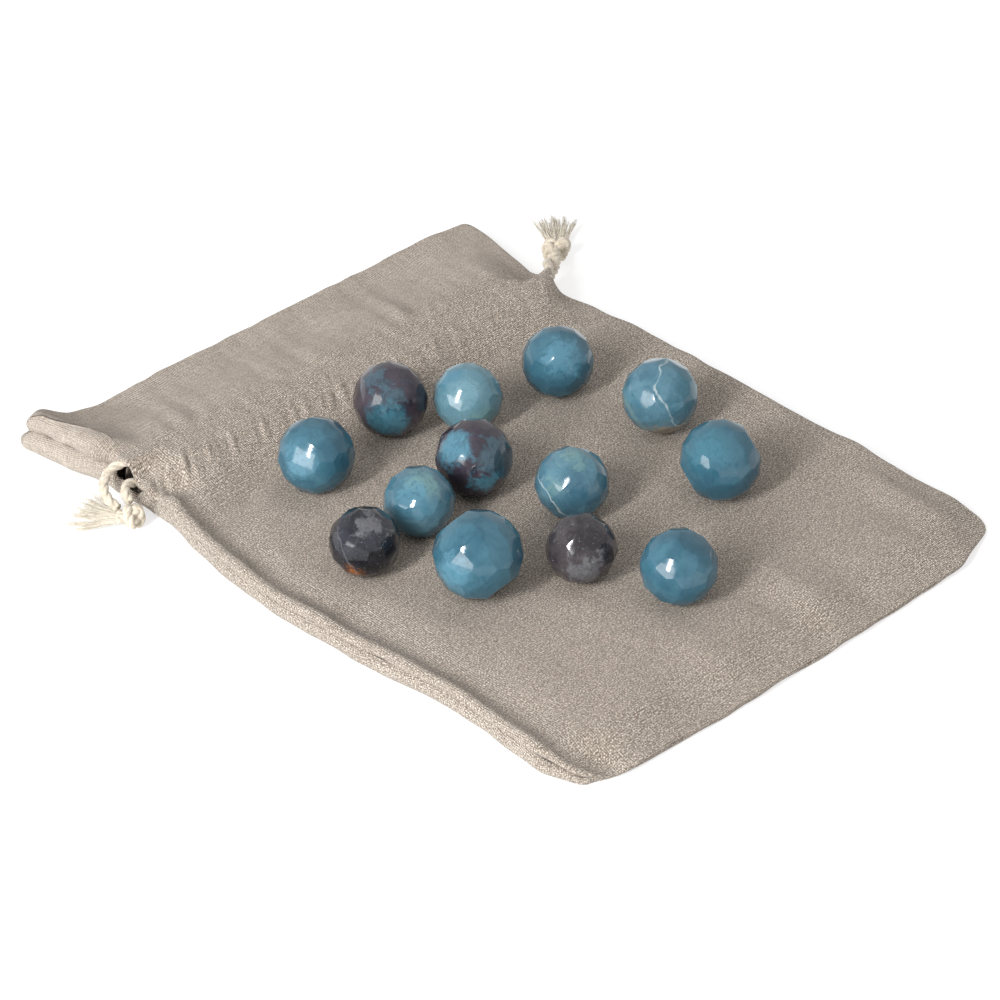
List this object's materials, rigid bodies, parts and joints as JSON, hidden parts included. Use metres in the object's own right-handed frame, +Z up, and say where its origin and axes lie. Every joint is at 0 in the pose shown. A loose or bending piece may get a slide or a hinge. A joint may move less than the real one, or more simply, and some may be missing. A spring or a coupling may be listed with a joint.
{
  "type": "drawstring pouch of solitaire marbles",
  "caption": "Flat woven drawstring pouch with two knotted drawcords and a set of loose faceted stone marbles resting on its front panel.",
  "frame": {"origin": "on the table, under the middle of the pouch's own box, leaving out the drawcords, knots and tassels", "axes": "+X along the mouth of the pouch, +Y from the bottom seam to the mouth, +Z up"},
  "size_m": [0.2034, 0.21, 0.0291],
  "materials": {
    "linen": "matt, undyed plain weave",
    "linen_inside": "matt, undyed plain weave, turned-in cloth",
    "thread": "matt cotton sewing thread",
    "cotton_cord": "matt twisted cotton",
    "amazonite": "polished, mottled blue-green",
    "pale_amazonite": "polished, pale blue-green",
    "dark_stone": "polished, dark brown to black with blue-green patches"
  },
  "bodies": {
    "pouch": {"back_panel": "linen", "front_panel": "linen", "back_facing": "linen_inside", "front_facing": "linen_inside", "left_side_seam": "linen_inside", "right_side_seam": "linen_inside", "bottom_seam": "linen_inside", "left_header_seam": "linen_inside", "right_header_seam": "linen_inside", "front_lower_stitching": "thread", "front_upper_stitching": "thread", "back_lower_stitching": "thread", "back_upper_stitching": "thread"},
    "left_cord": {"left_drawcord": "cotton_cord", "left_knot": "cotton_cord", "left_tassel": "cotton_cord"},
    "right_cord": {"right_drawcord": "cotton_cord", "right_knot": "cotton_cord", "right_tassel": "cotton_cord"},
    "marble_01": {"marble_01": "dark_stone"},
    "marble_02": {"marble_02": "pale_amazonite"},
    "marble_03": {"marble_03": "dark_stone"},
    "marble_04": {"marble_04": "amazonite"},
    "marble_05": {"marble_05": "pale_amazonite"},
    "marble_06": {"marble_06": "dark_stone"},
    "marble_07": {"marble_07": "amazonite"},
    "marble_08": {"marble_08": "amazonite"},
    "marble_09": {"marble_09": "amazonite"},
    "marble_10": {"marble_10": "amazonite"},
    "marble_11": {"marble_11": "pale_amazonite"},
    "marble_12": {"marble_12": "dark_stone"},
    "marble_13": {"marble_13": "amazonite"}
  },
  "joints": [
    {"name": "left_cord_pull", "type": "slide", "parent": "pouch", "child": "left_cord", "axis": [-0.9988, 0.0499, 0], "range_m": [0, 0.003]},
    {"name": "right_cord_pull", "type": "slide", "parent": "pouch", "child": "right_cord", "axis": [0.9988, -0.0499, 0], "range_m": [0, 0.003]},
    {"name": "marble_01_lift", "type": "slide", "parent": "pouch", "child": "marble_01", "axis": [0, 0, 1], "range_m": [0, 0.06]},
    {"name": "marble_02_lift", "type": "slide", "parent": "pouch", "child": "marble_02", "axis": [0, 0, 1], "range_m": [0, 0.06]},
    {"name": "marble_03_lift", "type": "slide", "parent": "pouch", "child": "marble_03", "axis": [0, 0, 1], "range_m": [0, 0.06]},
    {"name": "marble_04_lift", "type": "slide", "parent": "pouch", "child": "marble_04", "axis": [0, 0, 1], "range_m": [0, 0.06]},
    {"name": "marble_05_lift", "type": "slide", "parent": "pouch", "child": "marble_05", "axis": [0, 0, 1], "range_m": [0, 0.06]},
    {"name": "marble_06_lift", "type": "slide", "parent": "pouch", "child": "marble_06", "axis": [0, 0, 1], "range_m": [0, 0.06]},
    {"name": "marble_07_lift", "type": "slide", "parent": "pouch", "child": "marble_07", "axis": [0, 0, 1], "range_m": [0, 0.06]},
    {"name": "marble_08_lift", "type": "slide", "parent": "pouch", "child": "marble_08", "axis": [0, 0, 1], "range_m": [0, 0.06]},
    {"name": "marble_09_lift", "type": "slide", "parent": "pouch", "child": "marble_09", "axis": [0, 0, 1], "range_m": [0, 0.06]},
    {"name": "marble_10_lift", "type": "slide", "parent": "pouch", "child": "marble_10", "axis": [0, 0, 1], "range_m": [0, 0.06]},
    {"name": "marble_11_lift", "type": "slide", "parent": "pouch", "child": "marble_11", "axis": [0, 0, 1], "range_m": [0, 0.06]},
    {"name": "marble_12_lift", "type": "slide", "parent": "pouch", "child": "marble_12", "axis": [0, 0, 1], "range_m": [0, 0.06]},
    {"name": "marble_13_lift", "type": "slide", "parent": "pouch", "child": "marble_13", "axis": [0, 0, 1], "range_m": [0, 0.06]}
  ]
}
